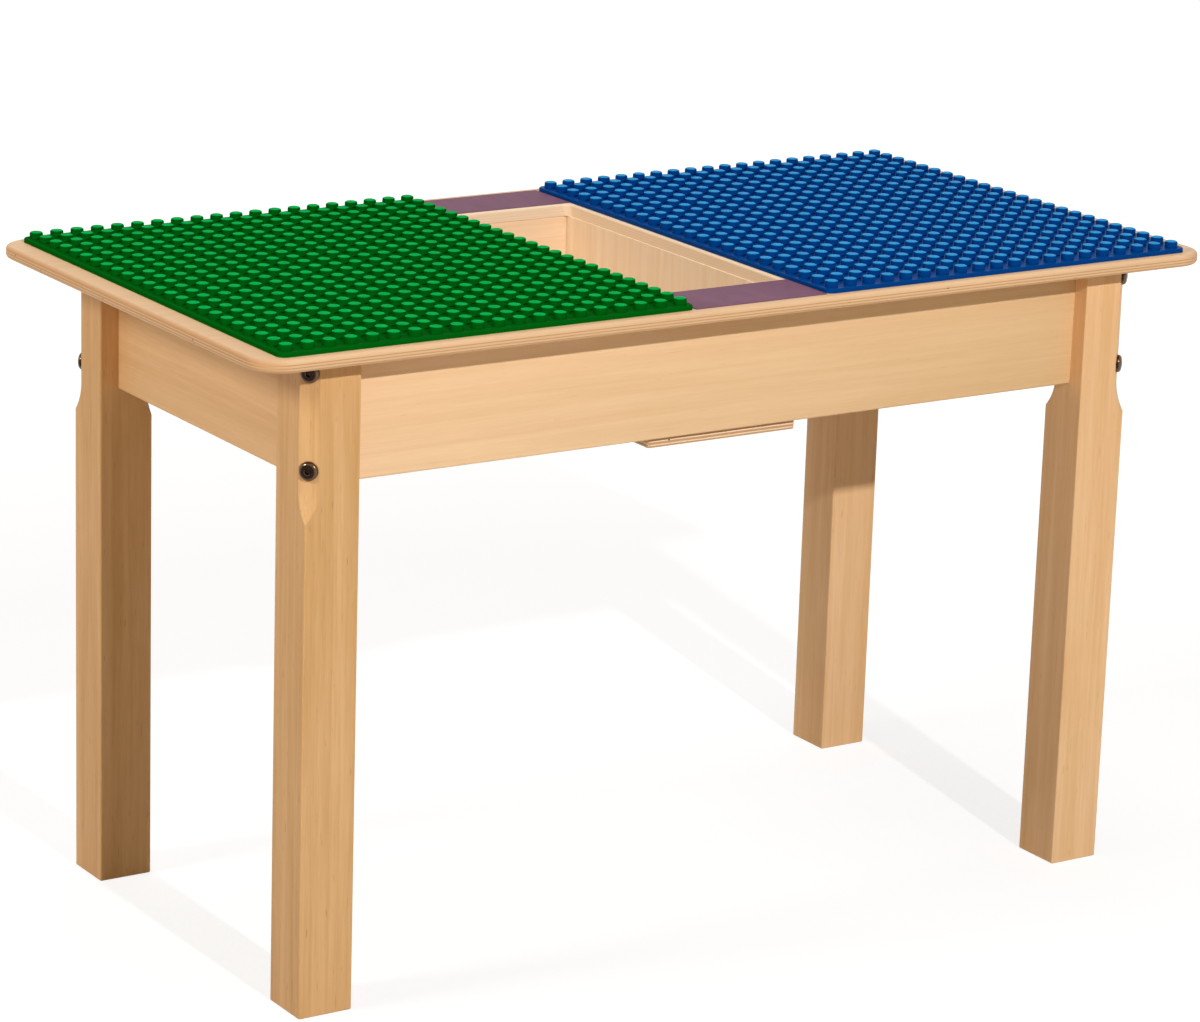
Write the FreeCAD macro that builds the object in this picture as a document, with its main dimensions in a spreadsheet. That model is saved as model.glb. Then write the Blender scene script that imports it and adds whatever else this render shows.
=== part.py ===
import FreeCAD, Part
import math
import os
import re
import Sketcher

# A low play table for building blocks: a birch plywood top on four square legs, two studded
# building plates on the top and an open storage well between them.
# X runs along the length, Y from front to back, Z up, and the origin is on the floor under
# the middle of the table. All lengths are in millimetres.

# Driving dimensions: name, value, what it measures
SIZES = (
    ("table_height", 469, "floor to the upper face of the wooden top"),
    ("top_thickness", 9, "plywood of the top"),
    ("top_corner_radius", 24, "rounded corners of the top, seen from above"),
    ("top_edge_radius", 3, "rounded long edges of the top, above and below"),
    ("end_margin", 17, "wood left bare at the left and right end of the top"),
    ("side_margin", 8, "wood left bare along the front and back of the top"),
    ("stud_columns", 20, "studs of one plate along the table"),
    ("stud_rows", 24, "studs of one plate across the table"),
    ("stud_pitch", 16, "stud to stud"),
    ("stud_diameter", 9.4, "a stud that a block is pressed onto"),
    ("stud_height", 4.5, "stud above its plate"),
    ("plate_thickness", 3.2, "building plate without its studs"),
    ("plate_corner_radius", 6, "rounded corners of a building plate"),
    ("plate_edge_radius", 1, "softened upper edge of a building plate"),
    ("plate_gap", 110, "between the two building plates"),
    ("well_rim", 3, "bare wood between a plate and the well"),
    ("well_corner_radius", 6, "corners of the opening in the top"),
    ("well_edge_radius", 2, "rounded rim of the opening"),
    ("well_lip", 1, "how far the top stands over the inside of the well"),
    ("well_wall_thickness", 9, "plywood side walls of the well"),
    ("housing_depth", 4, "groove in an apron that holds a well wall"),
    ("well_bottom_thickness", 8, "plywood bottom of the well"),
    ("well_bottom_lap", 8, "bottom under the edge of the front and back apron"),
    ("label_thickness", 0.5, "coloured strips on the top, between the plates"),
    ("label_clearance", 0.5, "strip short of the plates, on each side"),
    ("leg_side", 41, "square leg"),
    ("leg_inset_length", 48.5, "end of the top to the outer face of a leg"),
    ("leg_inset_width", 29.5, "front of the top to the outer face of a leg"),
    ("leg_chamfer", 10, "flat on the outer and the inner corner of a leg"),
    ("chamfer_run_out", 40, "radius in which the flat fades into the corner"),
    ("apron_height", 90, "boards that join the legs under the top"),
    ("apron_thickness", 15, "boards that join the legs"),
    ("apron_recess", 14, "apron behind the outer face of the legs"),
    ("apron_edge_radius", 1.5, "softened lower edges of an apron"),
    ("block_thickness", 22, "corner block, along the bolts"),
    ("block_clearance", 5, "corner block above the lower edge of the aprons"),
    ("bolt_diameter", 6, "bolt through leg and corner block"),
    ("bolt_clearance", 0.3, "hole wider than what passes through it, on each side"),
    ("bolt_low", 13.5, "lower bolt above the lower edge of the aprons"),
    ("bolt_high", 10.5, "upper bolt below the top"),
    ("bolt_head_diameter", 13.2, "domed head of a bolt"),
    ("bolt_head_height", 3.6, "domed head of a bolt"),
    ("bolt_head_rim", 0.8, "straight part of the head below its dome"),
    ("bolt_crown_diameter", 6.6, "flat middle of the head, round its socket"),
    ("bolt_socket", 4, "hexagon socket across its flats"),
    ("bolt_socket_depth", 2.2, "hexagon socket"),
    ("bolt_spare", 2, "bolt that stands out of its nut"),
    ("nut_flange_diameter", 18, "tee nut on the back of a corner block"),
    ("nut_flange_thickness", 1.5, "tee nut"),
    ("nut_barrel_diameter", 8, "tee nut inside the corner block"),
    ("nut_barrel_length", 9, "tee nut inside the corner block"),
    ("screw_diameter", 3.6, "wood screws"),
    ("screw_head_diameter", 8, "flat pan heads of the wood screws"),
    ("screw_head_height", 2.2, "flat pan heads of the wood screws"),
    ("screw_clearance", 0.2, "hole wider than its screw, on each side"),
    ("block_screw_grip", 10, "block under the head of a screw into an apron"),
    ("block_screw_bite", 12, "this screw inside the apron"),
    ("block_screw_cover", 3, "block behind this screw's axis, where its head is seated"),
    ("block_screw_inset", 22, "this screw from the upper or lower end of the block"),
    ("top_screw_grip", 25, "block under the top that a screw passes"),
    ("top_screw_bite", 7, "this screw inside the top"),
    ("top_screw_share", 0.45, "this screw beside the bolts, as a share of the block's half width"),
    ("bottom_screw_bite", 18, "screws of the well bottom inside its walls"),
    ("bottom_screw_inset", 24, "outer screws of the well bottom from its ends"),
    ("overrun", 5, "cutting bodies pass the surface that they cut"),
    ("tolerance", 0.0001, "lengths and volumes closer than this are the same"),
)

# Lengths that follow from the driving dimensions: name, formula
RELATIONS = (
    ("plate_length", "stud_columns * stud_pitch"),
    ("plate_width", "stud_rows * stud_pitch"),
    ("plate_x", "(plate_gap + plate_length) / 2"),
    ("top_length", "2 * plate_length + plate_gap + 2 * end_margin"),
    ("top_width", "plate_width + 2 * side_margin"),
    ("leg_height", "table_height - top_thickness"),
    ("leg_x", "top_length / 2 - leg_inset_length - leg_side / 2"),
    ("leg_y", "top_width / 2 - leg_inset_width - leg_side / 2"),
    ("leg_half_diagonal", "leg_side / sqrt(2)"),
    ("leg_flat", "(leg_side - leg_chamfer) / sqrt(2)"),
    ("apron_low", "leg_height - apron_height"),
    ("apron_centre", "leg_side / 2 - apron_recess - apron_thickness / 2"),
    ("apron_inside", "leg_side / 2 - apron_recess - apron_thickness"),
    ("long_apron_length", "2 * leg_x - leg_side"),
    ("short_apron_length", "2 * leg_y - leg_side"),
    ("long_apron_y", "leg_y + apron_centre"),
    ("short_apron_x", "leg_x + apron_centre"),
    ("bolt_low_z", "apron_low + bolt_low"),
    ("bolt_high_z", "leg_height - bolt_high"),
    ("bolt_length", "leg_flat * 2 + block_thickness + nut_flange_thickness + bolt_spare"),
    ("block_low", "apron_low + block_clearance"),
    ("block_height", "apron_height - block_clearance"),
    ("block_back", "leg_flat + block_thickness"),
    ("block_middle", "leg_flat + block_thickness / 2"),
    ("block_mitre", "-apron_inside * sqrt(2)"),
    ("block_screw_low", "block_low + block_screw_inset"),
    ("block_screw_high", "leg_height - block_screw_inset"),
    ("block_screw_seat", "block_screw_grip - apron_inside"),
    ("block_screw_out", "block_back * sqrt(2) - block_screw_seat - block_screw_cover"),
    ("top_screw_offset", "(block_middle - block_mitre) * top_screw_share"),
    ("well_half_length", "leg_y + apron_inside"),
    ("opening_width", "plate_gap - 2 * well_rim"),
    ("opening_length", "2 * (well_half_length - well_lip)"),
    ("well_wall_x", "opening_width / 2 + well_lip + well_wall_thickness / 2"),
    ("well_wall_length", "2 * (well_half_length + housing_depth)"),
    ("well_bottom_width", "2 * well_wall_x + well_wall_thickness"),
    ("well_bottom_low", "apron_low - well_bottom_thickness"),
    ("bottom_screw_y", "well_half_length - bottom_screw_inset"),
    ("well_bottom_length", "2 * (well_half_length + well_bottom_lap)"),
    ("label_length", "(plate_width - opening_length) / 2 - well_edge_radius"),
    ("label_y", "plate_width / 2 - label_length / 2"),
    ("stud_side", "stud_diameter * sqrt(pi) / 2"),
)

# The sheet that holds each named size
SHEETS = {name: "Sizes" for name, number, note in SIZES}
SHEETS.update({name: "Derived" for name, text in RELATIONS})

doc = FreeCAD.newDocument("PlayTable")


def make_sheet(name, rows):
    """A spreadsheet with one named cell for each row."""
    sheet = doc.addObject("Spreadsheet::Sheet", name)
    for number, (alias, content, note) in enumerate(rows, start=1):
        sheet.set("A%d" % number, alias)
        sheet.set("B%d" % number, content)
        sheet.setAlias("B%d" % number, alias)
        sheet.set("C%d" % number, note)


def formula(text):
    """The text with the name of its sheet before every named size."""
    return re.sub(r"[a-z_]{3,}", lambda word: full_name(word.group()), text)


def full_name(word):
    """A size as an expression names it; any other word, such as sqrt, is left alone."""
    return "%s.%s" % (SHEETS[word], word) if word in SHEETS else word


def value(name):
    """A named size as a number."""
    return float(doc.getObject(SHEETS[name]).get(name))


def bind(item, prop, text):
    """Ties a property to a formula of named sizes."""
    item.setExpression(prop, formula(text))


def new_body(name):
    """An empty PartDesign body."""
    body = doc.addObject("PartDesign::Body", name)
    body.Label = name
    return body


def plane_of(body, role):
    """One of the body's own origin planes."""
    return [item for item in body.Origin.OriginFeatures if item.Role == role][0]


def new_sketch(body, name, plane, height=None):
    """An empty sketch on an origin plane, or lifted above it by a named height."""
    sketch = body.newObject("Sketcher::SketchObject", body.Name + "_" + name)
    sketch.AttachmentSupport = [(plane_of(body, plane), "")]
    sketch.MapMode = "FlatFace"
    if height:
        bind(sketch, "AttachmentOffset.Base.z", height)
    return sketch


def fix_point(sketch, geometry, end, x, y):
    """Holds one point of a sketch at two formulas, measured from the sketch's origin."""
    for kind, axis, text in (("DistanceX", -2, x), ("DistanceY", -1, y)):
        if text == "0":
            sketch.addConstraint(Sketcher.Constraint("PointOnObject", geometry, end, axis))
        else:
            constraint = Sketcher.Constraint(kind, -1, 1, geometry, end, measure(text))
            number = sketch.addConstraint(constraint)
            bind(sketch, "Constraints[%d]" % number, text)


def measure(text):
    """The value of a formula now, for the first drawing of a sketch."""
    return float(doc.getObject("Sizes").evalExpression(formula(text)))


def outline(sketch, points, arcs=None):
    """A closed outline through points given as formulas.

    arcs says which sides are arcs: side number -> (centre x, centre y, radius, start, end),
    where start and end are the directions of its ends from the centre, in degrees.
    """
    arcs = arcs or {}
    spots = [FreeCAD.Vector(measure(x), measure(y), 0) for x, y in points]
    count = len(spots)
    for side in range(count):
        if side in arcs:
            centre_x, centre_y, radius, start, end = arcs[side]
            circle = Part.Circle(FreeCAD.Vector(measure(centre_x), measure(centre_y), 0),
                                 FreeCAD.Vector(0, 0, 1), measure(radius))
            sketch.addGeometry(Part.ArcOfCircle(circle, math.radians(start), math.radians(end)))
        else:
            sketch.addGeometry(Part.LineSegment(spots[side], spots[(side + 1) % count]))
    for side in range(count):
        after = (side + 1) % count
        here = arc_end(arcs, side, spots, after)
        there = arc_end(arcs, after, spots, after)
        sketch.addConstraint(Sketcher.Constraint("Coincident", side, here, after, there))
    for side in range(count):
        fix_point(sketch, side, arc_end(arcs, side, spots, side), *points[side])
    for side, (centre_x, centre_y, radius, start, end) in arcs.items():
        number = sketch.addConstraint(Sketcher.Constraint("Radius", side, measure(radius)))
        bind(sketch, "Constraints[%d]" % number, radius)
    return sketch


def arc_end(arcs, side, spots, corner):
    """Which end of a side lies on a corner: 1 for its start, 2 for its end."""
    if side not in arcs:
        return 1 if side == corner else 2
    centre_x, centre_y, radius, start, end = arcs[side]
    first = FreeCAD.Vector(measure(centre_x) + measure(radius) * math.cos(math.radians(start)),
                           measure(centre_y) + measure(radius) * math.sin(math.radians(start)), 0)
    return 1 if first.distanceToPoint(spots[corner]) < measure(radius) / 2 else 2


def rectangle(sketch, width, depth, x="0", y="0"):
    """A rectangle with its middle at x, y."""
    left, right = "%s - (%s) / 2" % (x, width), "%s + (%s) / 2" % (x, width)
    low, high = "%s - (%s) / 2" % (y, depth), "%s + (%s) / 2" % (y, depth)
    return outline(sketch, [(left, low), (right, low), (right, high), (left, high)])


def circles(sketch, diameter, centres):
    """Circles of one diameter at centres given as formulas."""
    for x, y in centres:
        middle = FreeCAD.Vector(measure(x), measure(y), 0)
        circle = Part.Circle(middle, FreeCAD.Vector(0, 0, 1), measure(diameter) / 2)
        number = sketch.addGeometry(circle)
        fix_point(sketch, number, 3, x, y)
        size = sketch.addConstraint(Sketcher.Constraint("Diameter", number, measure(diameter)))
        bind(sketch, "Constraints[%d]" % size, diameter)
    return sketch


def pad(body, sketch, length, both_sides=False, backwards=False):
    """Raises a sketch into a solid."""
    feature = body.newObject("PartDesign::Pad", sketch.Name + "_pad")
    feature.Profile = sketch
    bind(feature, "Length", length)
    feature.Midplane = both_sides
    feature.Reversed = backwards
    return finish(feature, True)


def pocket(body, sketch, depth=None, both_sides=False, backwards=False):
    """Cuts a sketch into the solid, right through when no depth is given."""
    feature = body.newObject("PartDesign::Pocket", sketch.Name + "_pocket")
    feature.Profile = sketch
    feature.Midplane = both_sides
    feature.Reversed = backwards
    if depth:
        bind(feature, "Length", depth)
    else:
        feature.Type = "ThroughAll"
    return finish(feature, False)


def revolve(body, sketch):
    """Turns a sketch once round the upright axis of its plane."""
    feature = body.newObject("PartDesign::Revolution", sketch.Name + "_turned")
    feature.Profile = sketch
    feature.ReferenceAxis = (sketch, ["V_Axis"])
    feature.Angle = 360
    return finish(feature, True)


def finish(feature, adds):
    """Works a feature out and makes sure that it added or removed material."""
    body = feature.getParentGeoFeatureGroup()
    sketch = feature.Profile[0]
    sketch.Visibility = False
    before = base_volume(feature)
    doc.recompute()
    after = feature.Shape.Volume
    if (after > before) != adds or abs(after - before) < value("tolerance"):
        raise RuntimeError("%s in %s changed nothing" % (feature.Name, body.Name))
    return feature


def base_volume(feature):
    """Volume of what a feature works on."""
    base = feature.BaseFeature
    return base.Shape.Volume if base else 0.0


def round_edges(body, name, radius, test):
    """Rounds every edge of the body that the test accepts."""
    tip = body.Tip
    chosen = ["Edge%d" % number for number, edge in enumerate(tip.Shape.Edges, start=1)
              if test(edge)]
    if not chosen:
        raise RuntimeError("no edges to round on " + body.Name)
    feature = body.newObject("PartDesign::Fillet", body.Name + "_" + name)
    feature.Base = (tip, chosen)
    bind(feature, "Radius", radius)
    doc.recompute()
    return feature


def upright(edge):
    """True for an edge that runs straight up."""
    box = edge.BoundBox
    return box.ZLength > value("tolerance") > max(box.XLength, box.YLength)


def level(height):
    """A test for edges that lie flat at a height."""
    def test(edge):
        box = edge.BoundBox
        return max(abs(box.ZMin - height), abs(box.ZMax - height)) < value("tolerance")
    return test


def inside_opening(edge):
    """True for edges of the opening in the top."""
    box = edge.BoundBox
    return max(abs(box.XMin), abs(box.XMax)) < value("plate_gap") / 2


def make_top():
    """The wooden top: rounded corners and edges, the opening of the well, and screw holes."""
    body = new_body("table_top")
    board = rectangle(new_sketch(body, "board", "XY_Plane", "leg_height"), "top_length", "top_width")
    pad(body, board, "top_thickness")
    round_edges(body, "corners", "top_corner_radius", upright)
    low, high = value("leg_height"), value("table_height")
    round_edges(body, "rim", "top_edge_radius", lambda edge: level(low)(edge) or level(high)(edge))
    opening = new_sketch(body, "opening", "XY_Plane", "leg_height")
    pocket(body, rectangle(opening, "opening_width", "opening_length"), backwards=True)
    round_edges(body, "opening_corners", "well_corner_radius",
                lambda edge: upright(edge) and inside_opening(edge))
    round_edges(body, "opening_rim", "well_edge_radius",
                lambda edge: level(high)(edge) and inside_opening(edge))
    holes = circles(new_sketch(body, "screws", "XY_Plane", "leg_height"), SCREW_HOLE, top_screw_spots())
    pocket(body, holes, "top_screw_bite + screw_clearance", backwards=True)
    return body


def make_plate():
    """A building plate: a thin sheet with the round studs in its four corners."""
    body = new_body("plate")
    sheet = rectangle(new_sketch(body, "sheet", "XY_Plane"), "plate_length", "plate_width")
    pad(body, sheet, "plate_thickness")
    round_edges(body, "corners", "plate_corner_radius", upright)
    round_edges(body, "rim", "plate_edge_radius", level(value("plate_thickness")))
    corners = [("%d * (plate_length - stud_pitch) / 2" % x, "%d * (plate_width - stud_pitch) / 2" % y)
               for x in (-1, 1) for y in (-1, 1)]
    studs = new_sketch(body, "studs", "XY_Plane", "plate_thickness")
    pad(body, circles(studs, "stud_diameter", corners), "stud_height")
    return body


def make_stud_field():
    """Every other stud of a plate, as square posts that cover as much as the round ones."""
    body = new_body("stud_field")
    body.AllowCompound = True
    stud_grid(body, "inner", "stud_columns", "stud_rows - 2", "stud_pitch")
    stud_grid(body, "outer", "stud_columns - 2", "2", "(stud_rows - 1) * stud_pitch")
    return body


def stud_grid(body, name, columns, rows, row_step):
    """A grid of posts with its middle at 0, for so many columns and rows."""
    post = body.newObject("PartDesign::AdditiveBox", "%s_%s_post" % (body.Name, name))
    for prop, text in (("Length", "stud_side"), ("Width", "stud_side"), ("Height", "stud_height"),
                       ("Placement.Base.x", "-((%s - 1) * stud_pitch + stud_side) / 2" % columns),
                       ("Placement.Base.y", "-((%s - 1) * %s + stud_side) / 2" % (rows, row_step)),
                       ("Placement.Base.z", "plate_thickness")):
        bind(post, prop, text)
    doc.recompute()
    grid = body.newObject("PartDesign::MultiTransform", "%s_%s_grid" % (body.Name, name))
    grid.Originals = [post]
    lines = []
    for role, count, step in (("X_Axis", columns, "stud_pitch"), ("Y_Axis", rows, row_step)):
        line = body.newObject("PartDesign::LinearPattern", "%s_%s_%s" % (body.Name, name, role))
        line.Direction = (plane_of(body, role), [""])
        line.Mode = "Spacing"
        bind(line, "Offset", step)
        bind(line, "Occurrences", count)
        lines.append(line)
    grid.Transformations = lines
    body.Tip = grid
    doc.recompute()


def make_leg():
    """A square leg, drawn cornerwise: its outer corner points along the body's own X.

    The outer and inner corners are cut flat beside the aprons, and each flat fades out
    downwards in an arc. The two bolts pass through both flats.
    """
    body = new_body("leg")
    tips = [("leg_half_diagonal", "0"), ("0", "leg_half_diagonal"),
            ("-leg_half_diagonal", "0"), ("0", "-leg_half_diagonal")]
    pad(body, outline(new_sketch(body, "square", "XY_Plane"), tips), "leg_height")
    for flat, sign, start in (("outer_flat", "", 180), ("inner_flat", "-", 270)):
        far = sign + "(leg_flat + chamfer_run_out)"
        near = sign + "(leg_flat)"
        points = [(near, "apron_low"), (near, "leg_height + overrun"),
                  (far, "leg_height + overrun"), (far, "apron_low - chamfer_run_out")]
        arc = (far, "apron_low", "chamfer_run_out", start, start + 90)
        pocket(body, outline(new_sketch(body, flat, "XZ_Plane"), points, {3: arc}), both_sides=True)
    pocket(body, bolt_circles(body, "bolt_holes", BOLT_HOLE), both_sides=True)
    return body


def bolt_circles(body, name, diameter, plane_height=None):
    """A circle round each of the two bolts of a corner."""
    sketch = new_sketch(body, name, "YZ_Plane", plane_height)
    return circles(sketch, diameter, [("0", height) for height in BOLT_HEIGHTS])


def make_corner_block():
    """A mitred block behind a leg, drawn like the leg, that the bolts pull the leg against."""
    body = new_body("corner_block")
    front, back = "leg_flat - block_mitre", "block_back - block_mitre"
    plan = [("-leg_flat", front), ("-block_back", back),
            ("-block_back", "-(%s)" % back), ("-leg_flat", "-(%s)" % front)]
    pad(body, outline(new_sketch(body, "plan", "XY_Plane", "block_low"), plan), "block_height")
    pocket(body, bolt_circles(body, "bolt_holes", BOLT_HOLE), both_sides=True)
    pocket(body, bolt_circles(body, "nut_holes", "nut_barrel_diameter + 2 * bolt_clearance", "-block_back"),
           "nut_barrel_length + bolt_clearance", backwards=True)
    beside = [("-block_middle", "%d * top_screw_offset" % side) for side in (-1, 1)]
    shanks = circles(new_sketch(body, "top_screws", "XY_Plane", "block_low"), SCREW_HOLE, beside)
    pocket(body, shanks, backwards=True)
    heads = circles(new_sketch(body, "top_screw_heads", "XY_Plane", "block_low"), HEAD_HOLE, beside)
    pocket(body, heads, "block_height - top_screw_grip", backwards=True)
    for side in (-1, 1):
        for height in ("block_screw_low", "block_screw_high"):
            bore_for_screw(body, side, height)
    return body


def bore_for_screw(body, side, height):
    """The stepped hole of one screw that leaves a corner block square to an apron."""
    steps = (("shank", SCREW_HOLE, "block_screw_grip + overrun", 1),
             ("head", HEAD_HOLE, "block_thickness", -1))
    for step, diameter, length, way in steps:
        bore = body.newObject("PartDesign::SubtractiveCylinder", body.Name + "_" + step)
        bind(bore, "Radius", "(%s) / 2" % diameter)
        bind(bore, "Height", length)
        turn = FreeCAD.Rotation(45 * side, 90 * way, 0)
        bore.Placement = FreeCAD.Placement(FreeCAD.Vector(), turn)
        bind(bore, "Placement.Base.x", "-(block_screw_out + block_screw_seat) / sqrt(2)")
        bind(bore, "Placement.Base.y", "%d * (block_screw_out - block_screw_seat) / sqrt(2)" % side)
        bind(bore, "Placement.Base.z", height)
        doc.recompute()


def make_apron(name, length, distance, grooves=()):
    """An apron board, drawn with its outer face to the front and at its place there."""
    body = new_body(name)
    middle = "apron_low + apron_height / 2"
    board = new_sketch(body, "board", "XZ_Plane", distance)
    pad(body, rectangle(board, length, "apron_height", y=middle), "apron_thickness", both_sides=True)
    low = value("apron_low")
    round_edges(body, "edge", "apron_edge_radius",
                lambda edge: level(low)(edge) and edge.BoundBox.XLength > value("apron_thickness"))
    inner_face = "%s - apron_thickness / 2" % distance
    for number, x in enumerate(grooves):
        groove = new_sketch(body, "groove%d" % number, "XZ_Plane", inner_face)
        pocket(body, rectangle(groove, "well_wall_thickness", "apron_height", x, middle),
               "housing_depth", backwards=True)
    spots = [("%d * (%s / 2 + leg_side / 2 - block_screw_out)" % (side, length), z)
             for side in (-1, 1) for z in ("block_screw_low", "block_screw_high")]
    pilots = circles(new_sketch(body, "screws", "XZ_Plane", inner_face), SCREW_HOLE, spots)
    pocket(body, pilots, "block_screw_bite + screw_clearance", backwards=True)
    return body


def make_well_wall():
    """A plywood side wall of the well, held in the grooves of the two long aprons."""
    body = new_body("well_wall")
    plan = new_sketch(body, "plan", "XY_Plane", "apron_low")
    pad(body, rectangle(plan, "well_wall_thickness", "well_wall_length"), "apron_height")
    pilots = circles(new_sketch(body, "screws", "XY_Plane", "apron_low"), SCREW_HOLE,
                     [("0", y) for y in BOTTOM_SCREW_ROWS])
    pocket(body, pilots, "bottom_screw_bite + screw_clearance", backwards=True)
    return body


def make_well_bottom():
    """The plywood sheet that closes the well from below."""
    body = new_body("well_bottom")
    plan = new_sketch(body, "plan", "XY_Plane", "well_bottom_low")
    pad(body, rectangle(plan, "well_bottom_width", "well_bottom_length"), "well_bottom_thickness")
    holes = circles(new_sketch(body, "screw_holes", "XY_Plane", "well_bottom_low"), SCREW_HOLE,
                    bottom_screw_spots())
    pocket(body, holes, backwards=True)
    return body


def make_label():
    """A bare coloured strip between the plates, at one end of the well."""
    body = new_body("label_strip")
    plan = new_sketch(body, "plan", "XY_Plane")
    pad(body, rectangle(plan, "plate_gap - 2 * label_clearance", "label_length"), "label_thickness")
    return body


def make_bolt():
    """A bolt with a domed head: its seat is at 0, its head above and its shank below."""
    body = new_body("bolt")
    crown, rim = "bolt_crown_diameter / 2", "bolt_head_diameter / 2"
    shank = "bolt_diameter / 2"
    half = [("0", "-bolt_length"), (shank, "-bolt_length"), (shank, "0"), (rim, "0"),
            (rim, "bolt_head_rim"), (crown, "bolt_head_height"), ("0", "bolt_head_height")]
    revolve(body, outline(new_sketch(body, "half", "XZ_Plane"), half))
    socket = new_sketch(body, "socket", "XY_Plane", "bolt_head_height")
    corners = [("bolt_socket / sqrt(3) * cos(%d deg)" % turn,
                "bolt_socket / sqrt(3) * sin(%d deg)" % turn) for turn in range(0, 360, 60)]
    pocket(body, outline(socket, corners), "bolt_socket_depth")
    return body


def make_tee_nut():
    """A tee nut: its flange lies below 0, against the block, and its barrel stands above."""
    body = new_body("tee_nut")
    bore = "bolt_diameter / 2 + screw_clearance"
    barrel, flange = "nut_barrel_diameter / 2", "nut_flange_diameter / 2"
    half = [(bore, "-nut_flange_thickness"), (flange, "-nut_flange_thickness"), (flange, "0"),
            (barrel, "0"), (barrel, "nut_barrel_length"), (bore, "nut_barrel_length")]
    revolve(body, outline(new_sketch(body, "half", "XZ_Plane"), half))
    return body


def make_screw(name, length):
    """A wood screw without its thread: its seat is at 0, its head above and its shank below."""
    body = new_body(name)
    shank, head = "screw_diameter / 2", "screw_head_diameter / 2"
    half = [("0", "-(%s)" % length), (shank, "-(%s)" % length), (shank, "0"), (head, "0"),
            (head, "screw_head_height"), ("0", "screw_head_height")]
    revolve(body, outline(new_sketch(body, "half", "XZ_Plane"), half))
    return body


def copies(name, master, places):
    """One sub-part made of copies of a body: places holds x, y, z, turn and tilt of each."""
    links = []
    for number, (x, y, z, turn, tilt) in enumerate(places):
        link = doc.addObject("App::Link", "%s_%d" % (name, number))
        link.LinkedObject = master
        link.Placement = FreeCAD.Placement(FreeCAD.Vector(), FreeCAD.Rotation(turn, tilt, 0))
        for axis, text in (("x", x), ("y", y), ("z", z)):
            bind(link, "Placement.Base." + axis, text)
        links.append(link)
    group = doc.addObject("Part::Compound", name)
    group.Label = name
    group.Links = links
    return group


def outward(side_x, side_y):
    """Direction of a corner of the table seen from its middle, in degrees."""
    return math.degrees(math.atan2(side_y, side_x))


def along_bolts(side_x, side_y, distance, height, tilt=0):
    """A place at a distance outwards from a leg's middle, turned to face that corner."""
    return ("%d * (leg_x + (%s) / sqrt(2))" % (side_x, distance),
            "%d * (leg_y + (%s) / sqrt(2))" % (side_y, distance), height, outward(side_x, side_y), tilt)


def bolt_places(distance):
    """The place of every bolt or nut, at a distance outwards from its leg's middle."""
    return [along_bolts(side_x, side_y, distance, height, 90)
            for side_x, side_y in CORNERS for height in BOLT_HEIGHTS]


def top_screw_spots():
    """Where the screws through the corner blocks enter the top."""
    spots = []
    for side_x, side_y in CORNERS:
        for side in (-1, 1):
            x = "%d * (leg_x - (block_middle + %d * top_screw_offset) / sqrt(2))" % (side_x, side)
            y = "%d * (leg_y - (block_middle - %d * top_screw_offset) / sqrt(2))" % (side_y, side)
            spots.append((x, y))
    return spots


def bottom_screw_spots():
    """Where the screws of the well bottom enter the side walls."""
    return [("%d * well_wall_x" % side, y) for side in (-1, 1) for y in BOTTOM_SCREW_ROWS]


def block_screw_places():
    """The place of every screw from a corner block into an apron, with its head inwards."""
    spots = []
    for side_x, side_y in CORNERS:
        out_x, seat_x = ["%d * (leg_x - %s)" % (side_x, step) for step in BLOCK_SCREW_STEPS]
        out_y, seat_y = ["%d * (leg_y - %s)" % (side_y, step) for step in BLOCK_SCREW_STEPS]
        for height in ("block_screw_low", "block_screw_high"):
            spots.append((out_x, seat_y, height, -90 * side_y, 90))
            spots.append((seat_x, out_y, height, 90 + 90 * side_x, 90))
    return spots


CORNERS = {(-1, -1): "front_left", (1, -1): "front_right", (-1, 1): "back_left", (1, 1): "back_right"}
BOLT_HEIGHTS = ("bolt_low_z", "bolt_high_z")
BOLT_HOLE = "bolt_diameter + 2 * bolt_clearance"
SCREW_HOLE = "screw_diameter + 2 * screw_clearance"
HEAD_HOLE = "screw_head_diameter + 2 * screw_clearance"
BLOCK_SCREW_STEPS = ("block_screw_out", "block_screw_seat")
BOTTOM_SCREW_ROWS = ("-bottom_screw_y", "0", "bottom_screw_y")
WALL_GROOVES = ("-well_wall_x", "well_wall_x")


def make_sheets():
    """The two spreadsheets: sizes that can be set, and lengths that follow from them."""
    make_sheet("Sizes", [(name, str(number), note) for name, number, note in SIZES])
    make_sheet("Derived", [(name, "=" + formula(text), "") for name, text in RELATIONS])
    doc.recompute()


def make_boards():
    """The top, the building plates with their studs, and the boards between the legs."""
    plate, studs, label = make_plate(), make_stud_field(), make_label()
    nodes = [make_top()]
    for colour, side in (("green", "-plate_x"), ("blue", "plate_x")):
        nodes.append(copies(colour + "_baseplate", plate, [(side, "0", "table_height", 0, 0)]))
        nodes.append(copies(colour + "_studs", studs, [(side, "0", "table_height", 0, 0)]))
    for end, y in (("front", "-label_y"), ("back", "label_y")):
        nodes.append(copies(end + "_label_strip", label, [("0", y, "table_height", 0, 0)]))
    long_apron = make_apron("long_apron", "long_apron_length", "long_apron_y", WALL_GROOVES)
    short_apron = make_apron("short_apron", "short_apron_length", "short_apron_x")
    for end, board, turn in (("front", long_apron, 0), ("right", short_apron, 90),
                             ("back", long_apron, 180), ("left", short_apron, 270)):
        nodes.append(copies(end + "_apron", board, [("0", "0", "0", turn, 0)]))
    return nodes


def make_well():
    """The storage well between the two plates."""
    wall = make_well_wall()
    return [copies("well_left_wall", wall, [("-well_wall_x", "0", "0", 0, 0)]),
            copies("well_right_wall", wall, [("well_wall_x", "0", "0", 0, 0)]),
            make_well_bottom()]


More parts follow.
